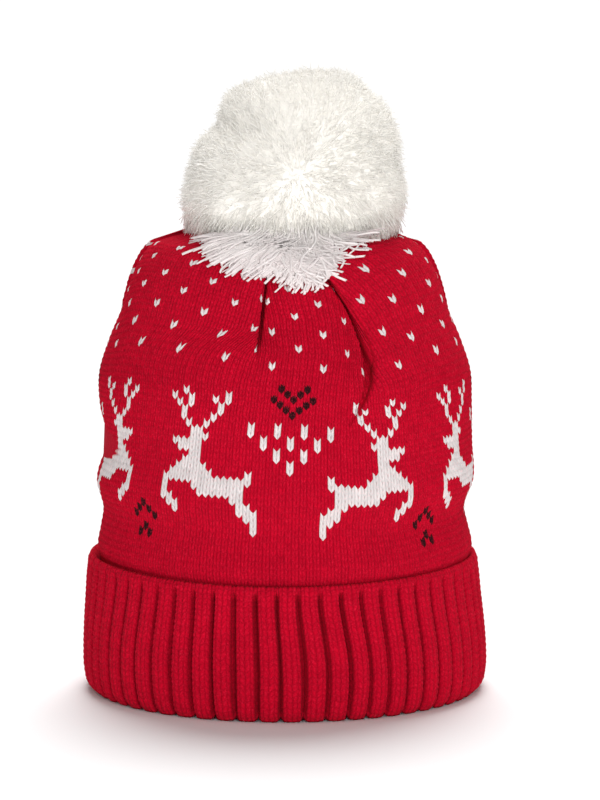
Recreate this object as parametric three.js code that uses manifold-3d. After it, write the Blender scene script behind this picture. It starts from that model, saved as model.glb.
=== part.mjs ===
// Knitted bobble hat standing on its rim: a ribbed turn-up cuff, a jersey crown that is pleated
// and gathered at the top, and a ball of cut yarn tied on over the gather.
// Millimetres, +Z up. The rim rests on Z = 0 around the origin and the front faces -Y.
// Angles are degrees round the hat from the front, positive towards +X.

import * as THREE from 'three';
import Module from 'manifold-3d';
import { mergeVertices } from 'three/addons/utils/BufferGeometryUtils.js';

const PIECE_GAP = 0.3; // clearance between neighbouring pieces
const JERSEY_THICKNESS = 2.5; // patterned jersey with its floats
const CROWN_COLUMNS = 80;

// Outer face of the crown from its hidden lower edge to the gather hole: half width across the
// front, and the share of it that the hat measures from front to back.
const CROWN_SECTIONS = [
  { z: 41.5, half: 84.4, depth: 1.0 },
  { z: 60, half: 84.9, depth: 1.0 },
  { z: 67, half: 86.6, depth: 1.0 },
  { z: 76, half: 85.2, depth: 0.99 },
  { z: 84, half: 84.0, depth: 0.99 },
  { z: 98, half: 87.6, depth: 0.98 },
  { z: 115, half: 86.8, depth: 0.97 },
  { z: 134, half: 86.4, depth: 0.96 },
  { z: 148, half: 85.7, depth: 0.95 },
  { z: 162, half: 81.3, depth: 0.95 },
  { z: 176, half: 75.6, depth: 0.95 },
  { z: 188, half: 72.0, depth: 0.95 },
  { z: 198, half: 68.0, depth: 0.95 },
  { z: 206, half: 62.6, depth: 0.95 },
  { z: 211, half: 54.5, depth: 0.96 },
  { z: 213, half: 43, depth: 0.97 },
  { z: 212, half: 24, depth: 0.99 },
  { z: 211, half: 5, depth: 1.0 },
];

// Pleats that take in the spare width towards the gather. Each runs down from the top to the end
// height through three angles, deepest at the top, and on its lip side one panel stands over the next.
const PLEATS = [
  { top: -8, middle: -9, low: -10, end: 164, deep: 5, lip: -1 },
  { top: 17, middle: 28, low: 24, end: 150, deep: 8, lip: 1 },
  { top: 94, middle: 98, low: 100, end: 164, deep: 5, lip: 1 },
  { top: 136, middle: 140, low: 142, end: 156, deep: 6, lip: -1 },
  { top: 178, middle: 180, low: 184, end: 152, deep: 7, lip: 1 },
  { top: -138, middle: -141, low: -142, end: 160, deep: 6, lip: 1 },
  { top: -95, middle: -97, low: -100, end: 166, deep: 5, lip: -1 },
];
const PLEAT_TOP = 206; // height where a pleat reaches its full depth
const PLEAT_GENTLE_SPAN = 15; // degrees from the valley to the panel that lies below
const PLEAT_LIP_SPAN = 7; // degrees from the valley to the lip
const PLEAT_INNER_RADIUS = 20; // the pleats die away between these radii, under the pompom
const PLEAT_OUTER_RADIUS = 50;

// Soft hollows where the empty hat leans in: centre, reach and depth.
const CROWN_DENTS = [
  { angle: -88, z: 116, spanAngle: 32, spanZ: 13, out: -4.5 },
  { angle: 62, z: 86, spanAngle: 40, spanZ: 11, out: -1.5 },
  { angle: 150, z: 112, spanAngle: 38, spanZ: 26, out: -3.5 },
  { angle: -142, z: 134, spanAngle: 34, spanZ: 22, out: -3 },
];

const RIB_COUNT = 58; // ribs round the cuff
const RIB_CENTRE = 1.6; // angle of the rib nearest the front
const RIB_GROOVE_DEPTH = 2;
const RIM_DIP = 2.5; // the turned-up edge sinks this far at the front
const RIM_DIP_SPAN = 55;
const RIM_HEIGHT = 64;

// The cuff's section, once round from the inner layer's top edge: down inside the hat, under the
// resting fold, up the ribbed face, over the turned-up edge and down the slot between the layers.
// The rib column is the share of the groove depth that a row carries.
const CUFF_SECTION = [
  { radius: 81.6, z: 41.2, rib: 0 },
  { radius: 83.2, z: 20, rib: 0 },
  { radius: 86.0, z: 4, rib: 0 },
  { radius: 88.0, z: 0, rib: 0 },
  { radius: 91.2, z: 0, rib: 0 },
  { radius: 93.6, z: 5, rib: 0.8 },
  { radius: 93.4, z: 24, rib: 1 },
  { radius: 91.6, z: 45, rib: 1 },
  { radius: 90.4, z: 58, rib: 0.8 },
  { radius: 89.8, z: 62.4, rib: 0.3 },
  { radius: 87.8, z: RIM_HEIGHT, rib: 0 },
  { radius: 86.0, z: 61.6, rib: 0 },
  { radius: 86.6, z: 40, rib: 0 },
  { radius: 88.4, z: 15, rib: 0 },
  { radius: 88.6, z: 8, rib: 0 },
  { radius: 87.0, z: 15, rib: 0 },
  { radius: 84.4, z: 41.2, rib: 0 },
];

const POMPOM_SEAT_GAP = 0.5; // clearance over the crown, whose facets come up into it
const POMPOM_CENTRE_X = 3.5;
const POMPOM_COLUMNS = 28;
// Outline of the yarn ball from its top to the middle of its underside, before the crown's top
// presses it hollow.
const POMPOM_SECTIONS = [
  { z: 290.5, radius: 0 },
  { z: 287.5, radius: 21 },
  { z: 279, radius: 34 },
  { z: 266, radius: 42.5 },
  { z: 250, radius: 49 },
  { z: 234, radius: 52.4 },
  { z: 221, radius: 52.6 },
  { z: 211, radius: 50 },
  { z: 203, radius: 44 },
  { z: 199, radius: 28 },
  { z: 197, radius: 0 },
];
// Uneven clipping of the ball, and at the front a fan of longer strands that falls over the crown.
const POMPOM_LUMPS = [
  { angle: 88, z: 268, spanAngle: 50, spanZ: 14, out: 4.5 },
  { angle: -86, z: 270, spanAngle: 55, spanZ: 12, out: -5.5 },
  { angle: 30, z: 282, spanAngle: 40, spanZ: 12, out: 2.5 },
  { angle: 170, z: 246, spanAngle: 60, spanZ: 20, out: 2 },
  { angle: -2, z: 205, spanAngle: 40, spanZ: 9, out: 22 },
];

const TIE_NECK_RADIUS = 4.4;
const TIE_NECK_TOP = 217;
const TIE_RECESS_RADIUS = TIE_NECK_RADIUS + PIECE_GAP;
const TIE_RECESS_HEIGHT = 24;
// Knot under the gathered top, then the doubled yarn up through the hole into the ball.
const TIE_OUTLINE = [
  { radius: 0, z: 202 },
  { radius: 6, z: 202.6 },
  { radius: 9, z: 204.4 },
  { radius: 9, z: 206.4 },
  { radius: 6.6, z: 207.9 },
  { radius: TIE_NECK_RADIUS, z: 208.1 },
  { radius: TIE_NECK_RADIUS, z: TIE_NECK_TOP - 1 },
  { radius: 0, z: TIE_NECK_TOP },
];

const RED_KNIT = new THREE.MeshStandardMaterial({ color: 0xc8102e, roughness: 0.9, metalness: 0 });
const RED_RIB = new THREE.MeshStandardMaterial({ color: 0xc30f2b, roughness: 0.92, metalness: 0 });
const WHITE_YARN = new THREE.MeshStandardMaterial({ color: 0xf0efec, roughness: 0.95, metalness: 0 });
const TIE_YARN = new THREE.MeshStandardMaterial({ color: 0xe8e4dc, roughness: 0.95, metalness: 0 });

const wasm = await Module();
wasm.setup();

const smooth = (from, to, value) => THREE.MathUtils.smoothstep(value, from, to);

// Shortest way round from one angle to another, in degrees.
function turn(angle, from) {
  return THREE.MathUtils.euclideanModulo(angle - from + 180, 360) - 180;
}

// Sum of the soft bumps and hollows of a table at one place.
function bumps(table, angle, z) {
  return table.reduce((sum, bump) => {
    const across = turn(angle, bump.angle) / bump.spanAngle;
    const along = (z - bump.z) / bump.spanZ;
    return sum + bump.out * Math.exp(-across * across - along * along);
  }, 0);
}

// How far the pleats draw the crown in at one place.
function pleatDepth(angle, z) {
  return PLEATS.reduce((sum, pleat) => {
    const rise = THREE.MathUtils.clamp((z - pleat.end) / (PLEAT_TOP - pleat.end), 0, 1);
    const path = pleat.low * (1 - rise) * (1 - 2 * rise)
      + pleat.middle * 4 * rise * (1 - rise)
      + pleat.top * rise * (2 * rise - 1);
    const offset = turn(angle, path);
    const span = offset * pleat.lip > 0 ? PLEAT_LIP_SPAN : PLEAT_GENTLE_SPAN;
    const valley = Math.max(0, 1 - Math.abs(offset) / span);
    return sum + pleat.deep * smooth(0, 0.6, rise) * valley * valley;
  }, 0);
}

// A point of the crown: on its outer face at a section row, or the given distance inside it, with the
// pleats or smooth over them.
function crownPoint(row, angle, inward, pleated) {
  const section = CROWN_SECTIONS[row];
  const below = CROWN_SECTIONS[Math.max(0, row - 1)];
  const above = CROWN_SECTIONS[Math.min(CROWN_SECTIONS.length - 1, row + 1)];
  const run = Math.hypot(above.half - below.half, above.z - below.z);
  const half = section.half - (inward * (above.z - below.z)) / run;
  const z = section.z + (inward * (above.half - below.half)) / run;
  const gathered = smooth(PLEAT_INNER_RADIUS, PLEAT_OUTER_RADIUS, section.half);
  const drawnIn = pleated ? pleatDepth(angle, section.z) : 0;
  const shift = (bumps(CROWN_DENTS, angle, section.z) - drawnIn) * gathered;
  const turned = THREE.MathUtils.degToRad(angle);
  const x = (half + shift) * Math.sin(turned);
  const y = -(half * section.depth + shift) * Math.cos(turned);
  return new THREE.Vector3(x, y, z);
}

// Closed ring of rows and columns, each row a loop round the hat and the last row joined to the first.
function ringGeometry(rowCount, columnCount, pointAt) {
  const geometry = new THREE.TorusGeometry(2, 1, rowCount, columnCount);
  const position = geometry.attributes.position;
  for (let index = 0; index < position.count; index += 1) {
    const row = Math.floor(index / (columnCount + 1)) % rowCount;
    const column = (index % (columnCount + 1)) % columnCount;
    position.setXYZ(index, ...pointAt(row, column));
  }
  return onlyPositions(geometry);
}

// Closed ball of rows from the top pole to the bottom pole.
function ballGeometry(rowCount, columnCount, pointAt) {
  const geometry = new THREE.SphereGeometry(1, columnCount, rowCount);
  const position = geometry.attributes.position;
  for (let index = 0; index < position.count; index += 1) {
    const row = Math.floor(index / (columnCount + 1));
    const column = (index % (columnCount + 1)) % columnCount;
    position.setXYZ(index, ...pointAt(row, column));
  }
  return onlyPositions(geometry);
}

function onlyPositions(geometry) {
  geometry.deleteAttribute('normal');
  geometry.deleteAttribute('uv');
  return mergeVertices(geometry, 1e-3);
}

function toSolid(geometry) {
  const vertProperties = new Float32Array(geometry.attributes.position.array);
  const triVerts = new Uint32Array(geometry.index.array);
  return new wasm.Manifold(new wasm.Mesh({ numProp: 3, vertProperties, triVerts }));
}

function fromSolid(solid) {
  const mesh = solid.getMesh();
  const geometry = new THREE.BufferGeometry();
  geometry.setAttribute('position', new THREE.BufferAttribute(mesh.vertProperties, 3));
  geometry.setIndex(new THREE.BufferAttribute(mesh.triVerts, 1));
  return geometry;
}

// Jersey wall: every section row outside, every second one back down inside.
function crownGeometry() {
  const outerRows = CROWN_SECTIONS.map((section, row) => ({ row, inward: 0 }));
  const last = CROWN_SECTIONS.length - 1;
  const innerRows = outerRows
    .filter(({ row }) => row % 2 === 0 || row === last)
    .map(({ row }) => ({ row, inward: JERSEY_THICKNESS }))
    .reverse();
  const loop = [...outerRows, ...innerRows];
  return ringGeometry(loop.length, CROWN_COLUMNS, (row, column) => {
    const { row: section, inward } = loop[row];
    return crownPoint(section, (column * 360) / CROWN_COLUMNS, inward, true);
  });
}

// The crown's outside as a filled form, grown by the seat gap and smooth over the pleats, which the
// ball bridges. It shapes the pompom's underside.
function crownForm() {
  const last = CROWN_SECTIONS.length - 1;
  const rowCount = CROWN_SECTIONS.length + 1;
  const geometry = ballGeometry(rowCount, CROWN_COLUMNS, (row, column) => {
    if (row === 0) return [0, 0, CROWN_SECTIONS[last].z + POMPOM_SEAT_GAP];
    if (row === rowCount) return [0, 0, CROWN_SECTIONS[0].z];
    return crownPoint(last + 1 - row, (column * 360) / CROWN_COLUMNS, -POMPOM_SEAT_GAP, false);
  });
  return toSolid(geometry);
}

// Ribbed band: two columns to a rib, one on its ridge and one in the groove beside it.
function cuffGeometry() {
  const columnCount = 2 * RIB_COUNT;
  return ringGeometry(CUFF_SECTION.length, columnCount, (row, column) => {
    const { radius, z, rib } = CUFF_SECTION[row];
    const angle = RIB_CENTRE + (column * 360) / columnCount;
    const groove = column % 2 === 1 ? RIB_GROOVE_DEPTH * rib : 0;
    const across = turn(angle, 0) / RIM_DIP_SPAN;
    const rise = Math.max(0, z / RIM_HEIGHT - 0.7) / 0.3;
    const dip = RIM_DIP * Math.exp(-across * across) * rise;
    const turned = THREE.MathUtils.degToRad(angle);
    return [(radius - groove) * Math.sin(turned), -(radius - groove) * Math.cos(turned), z - dip];
  });
}

// Yarn ball: the lumpy outline, pressed hollow by the crown's top and open for the tie.
function pompomGeometry() {
  const rowCount = POMPOM_SECTIONS.length - 1;
  const ball = ballGeometry(rowCount, POMPOM_COLUMNS, (row, column) => {
    const { z, radius } = POMPOM_SECTIONS[row];
    const angle = (column * 360) / POMPOM_COLUMNS;
    const turned = THREE.MathUtils.degToRad(angle);
    const out = radius > 0 ? radius + bumps(POMPOM_LUMPS, angle, z) : 0;
    return [POMPOM_CENTRE_X + out * Math.sin(turned), -out * Math.cos(turned), z];
  });
  const recess = new THREE.CylinderGeometry(TIE_RECESS_RADIUS, TIE_RECESS_RADIUS, TIE_RECESS_HEIGHT, 16);
  recess.rotateX(Math.PI / 2);
  recess.translate(0, 0, TIE_NECK_TOP + PIECE_GAP - TIE_RECESS_HEIGHT / 2);
  const cut = toSolid(ball).subtract(crownForm());
  return fromSolid(cut.subtract(toSolid(onlyPositions(recess))));
}

function tieGeometry() {
  const outline = TIE_OUTLINE.map(({ radius, z }) => new THREE.Vector2(radius, z));
  const geometry = new THREE.LatheGeometry(outline, 12);
  geometry.rotateX(Math.PI / 2);
  return geometry;
}

function piece(name, geometry, material) {
  const mesh = new THREE.Mesh(geometry, material);
  mesh.name = name;
  return mesh;
}

const hat = new THREE.Group();
hat.add(piece('cuff', cuffGeometry(), RED_RIB));
hat.add(piece('crown', crownGeometry(), RED_KNIT));
hat.add(piece('pompom_tie', tieGeometry(), TIE_YARN));
hat.add(piece('pompom', pompomGeometry(), WHITE_YARN));

export default hat;
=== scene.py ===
# %% [markdown]
# A red knitted bobble hat stands on its rim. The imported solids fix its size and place, and this lesson
# dresses them: knitted stitches on the crown, ribs on the turned-up cuff, cut yarn in the pompom.
# The frame comes first, because every piece below is measured in it, in metres.

# %% Load the frame
import math
from collections import namedtuple
from functools import partial

import bmesh
import bpy
import numpy as np
from mathutils import Matrix, Vector


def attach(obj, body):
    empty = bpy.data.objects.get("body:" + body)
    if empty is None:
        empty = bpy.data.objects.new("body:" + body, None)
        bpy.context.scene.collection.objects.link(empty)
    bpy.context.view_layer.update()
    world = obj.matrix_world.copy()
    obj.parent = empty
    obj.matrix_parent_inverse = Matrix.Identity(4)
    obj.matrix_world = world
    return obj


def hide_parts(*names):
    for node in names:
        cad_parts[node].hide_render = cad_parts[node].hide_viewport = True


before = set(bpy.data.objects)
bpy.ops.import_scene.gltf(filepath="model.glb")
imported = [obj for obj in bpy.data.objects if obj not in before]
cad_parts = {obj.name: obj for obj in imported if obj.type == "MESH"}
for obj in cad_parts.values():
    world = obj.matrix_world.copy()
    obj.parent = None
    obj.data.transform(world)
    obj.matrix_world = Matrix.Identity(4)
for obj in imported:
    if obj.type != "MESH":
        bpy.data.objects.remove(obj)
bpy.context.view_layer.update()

MM = 0.001
print("frame nodes:", sorted(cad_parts))

# %% [markdown]
# The photograph is a plain product shot: white surface, white background, soft light from all round and
# a long lens a little above the hat. A large floor under a bright sky gives the same clean white. A wide,
# soft sun high behind the hat leaves the short shade before the rim, and a front light evens the rest.

# %% Camera, floor and light
CAMERA_ELEVATION = math.radians(7.3)
CAMERA_DISTANCE = 2.0
AIM = Vector((7 * MM, 0, 134 * MM))
FLOOR_REACH = 12  # metres
PAPER_WHITE = (0.93, 0.93, 0.93, 1)
SKY_STRENGTH = 0.27


def add_object(name, data):
    thing = bpy.data.objects.new(name, data)
    bpy.context.scene.collection.objects.link(thing)
    return thing


def add_built(name, builder):
    mesh = bpy.data.meshes.new(name)
    builder.to_mesh(mesh)
    builder.free()
    mesh.shade_smooth()
    return add_object(name, mesh)


def add_aimed(data, place, **settings):
    """A camera or a light with these settings, at a place in metres, pointed at the hat."""
    for name, value in settings.items():
        setattr(data, name, value)
    thing = add_object(data.name, data)
    thing.location = place
    thing.rotation_mode = "QUATERNION"
    thing.rotation_quaternion = (AIM - Vector(place)).to_track_quat("-Z", "Y")
    return thing


def new_material(name, looks):
    material = bpy.data.materials.new(name)
    material.use_nodes = True
    for socket, value in looks.items():
        material.node_tree.nodes["Principled BSDF"].inputs[socket].default_value = value
    return material


back = Vector((0, -math.cos(CAMERA_ELEVATION), math.sin(CAMERA_ELEVATION)))
camera = bpy.data.cameras.new("photo_camera")
back_light, front_light = bpy.data.lights.new("back_light", "SUN"), bpy.data.lights.new("front_light", "AREA")
bpy.context.scene.camera = add_aimed(
    camera, AIM + back * CAMERA_DISTANCE, lens=194.4, sensor_width=36, clip_end=100,
)
floor_grid = bmesh.new()
bmesh.ops.create_grid(floor_grid, x_segments=8, y_segments=8, size=FLOOR_REACH)
floor = add_built("floor", floor_grid)
paper = {"Base Color": PAPER_WHITE, "Roughness": 0.7, "Specular IOR Level": 0.1}
floor.data.materials.append(new_material("white_surface", paper))
world = bpy.data.worlds.new("studio")
world.use_nodes = True
sky = world.node_tree.nodes["Background"].inputs
sky["Color"].default_value, sky["Strength"].default_value = (1, 1, 1, 1), SKY_STRENGTH
bpy.context.scene.world = world
add_aimed(back_light, (0.1, 1.2, 2.2), energy=3.2, angle=math.radians(36))
add_aimed(front_light, (0.25, -2.15, 0.5), energy=33, shape="DISK", size=1.6)
bpy.context.scene.view_settings.view_transform = "Standard"
print("camera at", [round(x, 3) for x in bpy.context.scene.camera.location])

# %% [markdown]
# The pattern is knitted in: each stitch of the crown is red, white or black. A knitter works from a chart,
# and so does this script. One half repeat is charted, a deer between the small black motifs, and
# it is mirrored to both sides. A hash is a stitch in the pattern colour. Rows count down from a deer's
# belly, and columns count out from the middle of the front.

# %% The knitting chart
WALES = 184  # stitches round the crown
REPEAT = 46  # stitches in one repeat of the deer
RED, WHITE, BLACK = 0, 1, 2

DEER_TOP_ROW = -18
DEER_FIRST_COLUMN = 5
DEER = """
.....#......#..
.....#.#...#..#
......#....#.#.
......#.....#..
.......#....#..
........#..#...
.........##....
........###....
.........#####.
.........####..
.........##....
.........###...
........#####..
.#.....#######.
.##############
..########....#
..#######.....#
..##.........##
.##.........##.
###.........#..
##.............
#..............
#..............
""".split()

# Row to columns of the motifs on the middle line of a repeat, and on the line between two repeats.
HEART = {-20: (2,), -19: (1,), -18: (0, 3), -17: (2,), -16: (1,), -15: (0,)}
DASHES = {-13: (2, 6), -12: (2, 6), -11: (0, 4), -10: (0, 4), -9: (2,), -8: (2,), -7: (0,), -6: (0,)}
SIDE_MOTIF = {1: (0,), 2: (1,), 3: (2,), 5: (0,), 6: (1,)}
FIRST_DOT_ROW = -24
DOT_ROWS = 3  # every third row has dots
DOT_COLUMNS = 8  # a dot every eighth stitch, the next dotted row half way between


def stitch_colour(wale, row):
    """RED, WHITE or BLACK for a stitch, from the chart."""
    column = (wale + REPEAT // 2) % REPEAT - REPEAT // 2
    out = abs(column)
    aside = REPEAT // 2 - out
    if out in HEART.get(row, ()) or aside in SIDE_MOTIF.get(row, ()):
        return BLACK
    if out in DASHES.get(row, ()):
        return WHITE
    line, place = row - DEER_TOP_ROW, out - DEER_FIRST_COLUMN
    if 0 <= line < len(DEER) and 0 <= place < len(DEER[0]):
        return WHITE if DEER[line][place] == "#" else RED
    dotted, spare = divmod(FIRST_DOT_ROW - row, DOT_ROWS)
    if dotted >= 0 and spare == 0:
        shift = 0 if dotted % 2 else DOT_COLUMNS // 2
        return WHITE if (wale + shift) % DOT_COLUMNS == 0 else RED
    return RED


print("chart: white stitches in a deer", sum(line.count("#") for line in DEER))

# %% [markdown]
# The hat's form comes from short tables. A smooth curve through a table has no corners, so a few measured
# places are enough. These helpers serve all the pieces below.

# %% Smooth curves and places
def ease(low, high, value):
    """A soft step from 0 at the low value to 1 at the high one."""
    t = np.clip((value - low) / (high - low), 0, 1)
    return t * t * (3 - 2 * t)


def smooth_curve(knots, values, at):
    """A curve through the values at the knots, without corners."""
    slope = np.gradient(values, knots)
    index = np.clip(np.searchsorted(knots, at) - 1, 0, len(knots) - 2)
    span = knots[index + 1] - knots[index]
    t = np.clip((at - knots[index]) / span, 0, 1)
    rise = values[index + 1] - values[index]
    start, end = slope[index] * span, slope[index + 1] * span
    return values[index] + t * start + t**2 * (3 * rise - 2 * start - end) + t**3 * (start + end - 2 * rise)


def change(knots, values, behind, ahead):
    return smooth_curve(knots, values, ahead) - smooth_curve(knots, values, behind)


def length_along(points):
    steps = np.linalg.norm(np.diff(points, axis=0), axis=1)
    return np.concatenate([[0], np.cumsum(steps)])


def unit(vectors):
    return vectors / np.linalg.norm(vectors, axis=1, keepdims=True)


def round_hat(angle, wide, deep, height):
    """Places at an angle from the middle of the front, with a half width, a half depth and a height."""
    turned = np.radians(angle)
    return np.column_stack([wide * np.sin(turned), -deep * np.cos(turned), height])


print("a soft step after a quarter:", float(ease(0, 1, 0.25)))

# %% [markdown]
# The crown is a tube of jersey. Its side follows the outline in the photograph, and its depth from front to
# back is a share of its width. A few soft dents keep it from looking turned on a lathe.

# %% The form of the crown
CROWN_SECTIONS = np.array([  # height, half width, depth as a share of the width
    (41.5, 84.4, 1), (60, 84.9, 1), (67, 86.6, 1), (76, 85.2, 0.99), (84, 84.0, 0.99),
    (98, 87.6, 0.98), (115, 86.8, 0.97), (134, 86.4, 0.96), (148, 85.7, 0.95), (162, 81.3, 0.95),
    (176, 75.6, 0.95), (188, 72.0, 0.95), (198, 68.0, 0.95), (206, 62.6, 0.95), (211, 54.5, 0.96),
    (213, 43, 0.97), (212, 24, 0.99), (211, 5, 1),
])
CROWN_LENGTH = length_along(CROWN_SECTIONS[:, :2])
CROWN_DENTS = np.array([  # angle, height, half width round and up, how far out
    (-88, 116, 32, 13, -4.5), (62, 86, 40, 11, -1.5), (150, 112, 38, 26, -3.5), (-142, 134, 34, 22, -3),
])


def dents(angle, height):
    total = np.zeros_like(angle)
    for middle, level, wide, tall, out in CROWN_DENTS:
        across = ((angle - middle + 180) % 360 - 180) / wide
        total += out * np.exp(-across**2 - ((height - level) / tall) ** 2)
    return total


def crown_side(length):
    """Half width, height, depth share and outward direction at a length up the crown's side."""
    height, half, depth = (smooth_curve(CROWN_LENGTH, column, length) for column in CROWN_SECTIONS.T)
    ahead = np.minimum(length + 0.5, CROWN_LENGTH[-1] - 1e-3)
    up, out = (change(CROWN_LENGTH, column, ahead - 1, ahead) for column in CROWN_SECTIONS.T[:2])
    run = np.hypot(up, out)
    return half, height, depth, up / run, -out / run


print("crown side is", round(CROWN_LENGTH[-1], 1), "mm long with", len(CROWN_DENTS), "dents")

# %% [markdown]
# The top is gathered, so the tube's spare width goes into pleats. Two of them show at the front. A sheet
# could be draped by simulation, but the folds would fall by chance, so here they follow a table: where each
# pleat runs, and which panel's stitches stay upright. What lies between two panels is folded away under the
# lip, and the stitches beside a pleat lean into it.

# %% Fold the pleats
Pleat = namedtuple(
    "Pleat", "top middle low end steady place gap lip left right sink lift start full tuck",
    defaults=(1, 1, 2, 5, 150, 206, 0),
)
# A pleat runs up from its end height through three angles. On the panel after it, the stitches at the steady
# angle stay upright and show at the angle named place. Gap is the open fold's width, and lip is 1 where the
# panel after it lies on top, or else -1. Left and right are how much more than the spare width is tucked in
# from each side, and tuck is a share more near the lower end. The lip panel sinks at the pleat and lifts
# further away, from the start height on and fully at the next one.
PLEATS = [
    Pleat(-138, -141, -142, 160, -120, -120, 1.5, 1),
    Pleat(-95, -97, -100, 166, -60, -66, 1.0, -1, lift=4),
    Pleat(-6, -7.5, -8.5, 160, 3, 3, 1.0, -1, 1.4, 1, 1, 9.6, 130, 176),
    Pleat(9, 27.7, 16.5, 128, 66, 70, 3.8, 1, 1.6, 1.9, 2.7, 16.6, 120, 196, 0.035),
    Pleat(94, 98, 100, 164, 120, 120, 1.0, 1, lift=4),
    Pleat(136, 140, 142, 156, 160, 160, 1.5, -1),
    Pleat(178, 180, 184, 152, 200, 200, 1.5, 1),
]
PLEAT_TOP = 206  # height where the pleats are deepest
FULL_HALF_WIDTH = 86  # half width where nothing is folded away
DEGREE = FULL_HALF_WIDTH * math.pi / 180  # millimetres of knitting to a degree
MOST_TAKEN = 0.85  # largest share of a panel that goes into a pleat
FOLD_DEPTH, MOST_DEEP = 0.85, 13  # depth as a share of the cloth in a fold, limit
UNDER = 0.5  # how far a fold runs in under its lip, as a share of its depth
LIP_RISE, LIP_REACH, MOST_RAISED = 0.16, 10, 1.5  # the upper panel's edge stands out
LOW_SINK, LOW_REACH, MOST_LOWERED = 0.3, 6, 2.5  # the lower panel lies back
PLACE_HEIGHTS = 140, 168  # between these heights the panels move to their places
LEAN_REACH = 18  # the stitches lean most within this distance of a pleat
LEAN_ENDS = 55, 110  # between these distances the lean dies away
UPTURN, UPTURN_HEIGHTS = 1.7, (160, 194)  # near the top the sinking edge turns up instead


def pleat_edges(number, half, height):
    """A pleat's angle, the stitch angles where the panels before and after it end, and its valley."""
    pleat = PLEATS[number]
    before = PLEATS[number - 1].steady - (360 if number == 0 else 0)
    rise = np.clip((height - pleat.end) / (PLEAT_TOP - pleat.end), 0, 1)
    centre = pleat.low * (1 - rise) * (1 - 2 * rise)
    centre = centre + pleat.middle * 4 * rise * (1 - rise) + pleat.top * rise * (2 * rise - 1)
    taken = ease(0, 0.35, rise) * (1 - np.minimum(half / FULL_HALF_WIDTH, 1))
    taken = taken + pleat.tuck * ease(0, 0.25, rise) * (1 - ease(0.35, 0.7, rise))
    left = centre + (before - centre) * np.minimum(taken * pleat.left, MOST_TAKEN)
    right = centre + (pleat.steady - centre) * np.minimum(taken * pleat.right, MOST_TAKEN)
    hidden = (right - left) * DEGREE
    gap = np.minimum(pleat.gap * (1 - 0.8 * ease(0.45, 0.95, rise)), 0.5 * hidden)
    deep = np.minimum(FOLD_DEPTH * np.sqrt(np.maximum(hidden**2 - gap**2, 0)), MOST_DEEP)
    return centre, left, right, gap, deep


def lean_lift(stitch_angle, half, height):
    """How far the cloth beside the pleats is turned up or down along the crown's side."""
    total = np.zeros_like(stitch_angle)
    for number, pleat in enumerate(PLEATS):
        _, left, right, _, _ = pleat_edges(number, half, height)
        beside = (stitch_angle - right if pleat.lip > 0 else left - stitch_angle) * DEGREE
        hidden = np.maximum((right - left) * DEGREE, 1e-6)
        sink = pleat.sink * (1 - UPTURN * ease(*UPTURN_HEIGHTS, height))
        turned = pleat.lift * (1 - np.exp(-np.maximum(beside, 0) / LEAN_REACH)) - sink
        turned = turned * (1 - ease(*LEAN_ENDS, beside))
        tucked = -sink * np.clip(1 + beside / hidden, 0, 1)
        total += np.where(beside >= 0, turned, tucked) * ease(pleat.start, pleat.full, height)
    return total


def fold_in(stitch_angle, half, height):
    """Angle round the hat and push out of stitches, with the spare width tucked into the pleats."""
    first = np.full_like(stitch_angle, PLEATS[-1].steady - 360)
    stitches, places = [first], [first]
    push, aside = np.zeros_like(stitch_angle), np.zeros_like(stitch_angle)
    for number, pleat in enumerate(PLEATS):
        centre, left, right, gap, deep = pleat_edges(number, half, height)
        half_gap = np.degrees(gap / 2 / half)
        spread = ease(*PLACE_HEIGHTS, height) * (pleat.place - pleat.steady)
        stitches += [left, right, np.full_like(left, pleat.steady)]
        places += [centre - half_gap, centre + half_gap, pleat.steady + spread]
        into = np.clip((stitch_angle - left) / np.maximum(right - left, 1e-6), 0, 1)
        reach = [np.maximum(beside, 0) * DEGREE for beside in (left - stitch_angle, stitch_angle - right)]
        low_reach, lip_reach = reach[::pleat.lip]
        lip_share = into if pleat.lip > 0 else 1 - into
        raised = LIP_RISE * deep * np.exp(-((lip_reach / LIP_REACH) ** 2)) * lip_share
        lowered = LOW_SINK * deep * np.exp(-low_reach / LOW_REACH) * (1 - lip_share)
        edges = np.minimum(raised, MOST_RAISED) - np.minimum(lowered, MOST_LOWERED)
        push += edges - deep * np.sin(np.pi * into) ** 0.5
        aside += np.degrees(pleat.lip * UNDER * deep * np.sin(np.pi * into) / half)
    angle = np.zeros_like(stitch_angle)
    for low, high, start, end in zip(stitches, stitches[1:], places, places[1:]):
        share = (stitch_angle - low) / np.maximum(high - low, 1e-6)
        inside = (stitch_angle >= low) & (stitch_angle < high)
        angle = np.where(inside, start + (end - start) * share, angle)
    return angle + aside, push


def crown_point(stitch_angle, length, relief, inward):
    """Places in metres from the stitches' angle in the knitting and their length up the side."""
    half, height, *_ = crown_side(length)
    length = np.minimum(length + lean_lift(stitch_angle, half, height), CROWN_LENGTH[-1])
    half, height, depth, out, up = crown_side(length)
    angle, push = fold_in(stitch_angle, half, height)
    push = (push + dents(angle, height)) * ease(20, 50, half)
    raised = relief - inward
    wide, deep = (size + push + raised * out for size in (half, half * depth))
    return round_hat(angle, wide, deep, height + raised * up) * MM


print("pleats at", [pleat.top for pleat in PLEATS], "degrees")

# %% [markdown]
# Jersey looks like columns of small V stitches. Each V has two legs of yarn that stand out, with a groove
# between them, and the next V sits in its mouth. Loops of real yarn would need millions of faces, so the
# cloth is a fine grid: four columns and two rows of faces to a stitch, pushed up along the legs, with the
# rows of the grid bent to a zigzag. A coloured stitch then has a true V outline. The grid is closed into
# a tube, and its ends run on over the gather and back down inside as the wall's other face.

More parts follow.
